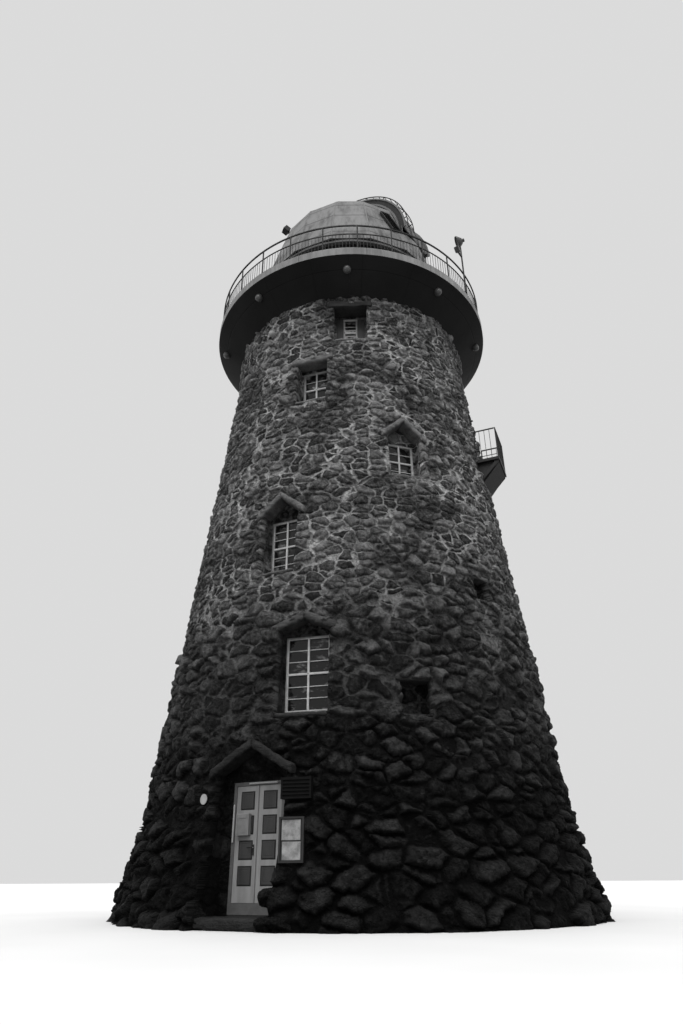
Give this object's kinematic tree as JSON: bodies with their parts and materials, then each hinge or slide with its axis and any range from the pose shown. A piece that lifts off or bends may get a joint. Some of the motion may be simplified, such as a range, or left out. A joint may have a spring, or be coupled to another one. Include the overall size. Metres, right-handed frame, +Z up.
{
  "type": "observatory tower",
  "caption": "Round battered tower of rubble stone with gabled windows, a railed gallery on a conical collar, and a turning many-sided dome with a slit, arched girders and a ladder.",
  "frame": {"origin": "on the tower's axis at ground level", "axes": "+Z up; -Y towards the side with the entrance and the window column; the entrance stands about 25 degrees towards -X from it"},
  "size_m": [11.28, 11.28, 24.2553],
  "materials": {
    "stone": "rough rubble with pale mortar",
    "dressed_stone": "rough-hewn slabs",
    "floor": "matte",
    "gallery_concrete": "matte, weathered",
    "collar_paint": "matte dark paint",
    "white_paint": "painted, weathered",
    "door_paint": "painted, satin",
    "boards": "painted boards",
    "window_glass": "clear",
    "dark_iron": "dark paint, rusting",
    "lamp_body": "satin",
    "drum_paint": "dark paint",
    "track_steel": "grey paint",
    "roller_steel": "bare",
    "dome_sheet": "weathered grey paint",
    "girder_paint": "weathered dark paint",
    "board_paint": "painted",
    "disc_enamel": "enamel"
  },
  "bodies": {
    "tower": {"wall_1": "stone", "door_head": "stone", "wall_2": "stone", "wall_3": "stone", "wall_4": "stone", "wall_5": "stone", "wall_6": "stone", "porch_slabs": "dressed_stone", "window_slabs": "dressed_stone", "window_sills": "dressed_stone", "window_frames": "white_paint", "window_glass": "window_glass", "window_boarding": "boards", "door_frame": "white_paint", "door_step": "dressed_stone", "ground_floor": "floor", "upper_floors": "floor", "gallery_collar": "collar_paint", "gallery_slab": "gallery_concrete", "gallery_railing": "dark_iron", "soffit_lamps": "lamp_body", "lamp_mast": "dark_iron", "mast_floodlights": "lamp_body", "balcony_platform": "dark_iron", "balcony_railing": "dark_iron", "balcony_door": "boards", "drum_wall": "drum_paint", "drum_door": "drum_paint", "track_ring": "track_steel", "track_rollers": "roller_steel", "notice_board": "board_paint", "louvre_box": "dark_iron", "wall_disc": "disc_enamel"},
    "leaf_left": {"door_leaf_left": "door_paint"},
    "leaf_right": {"door_leaf_right": "door_paint"},
    "dome": {"dome_shell": "dome_sheet", "dome_rail": "track_steel", "slit_girders": "girder_paint", "slit_shutter": "dome_sheet", "dome_ladder": "dark_iron", "dome_vent": "dark_iron"}
  },
  "joints": [
    {"name": "dome_turn", "type": "hinge", "parent": "tower", "child": "dome", "pos_m": [0, 0, 19.6], "axis": [0, 0, 1], "continuous": true},
    {"name": "door_left_swing", "type": "hinge", "parent": "tower", "child": "leaf_left", "pos_m": [-2.39369, -4.02988, 0.41], "axis": [0, 0, 1], "range_deg": [0, 90]},
    {"name": "door_right_swing", "type": "hinge", "parent": "tower", "child": "leaf_right", "pos_m": [-1.47099, -4.45038, 0.41], "axis": [0, 0, -1], "range_deg": [0, 90]}
  ]
}
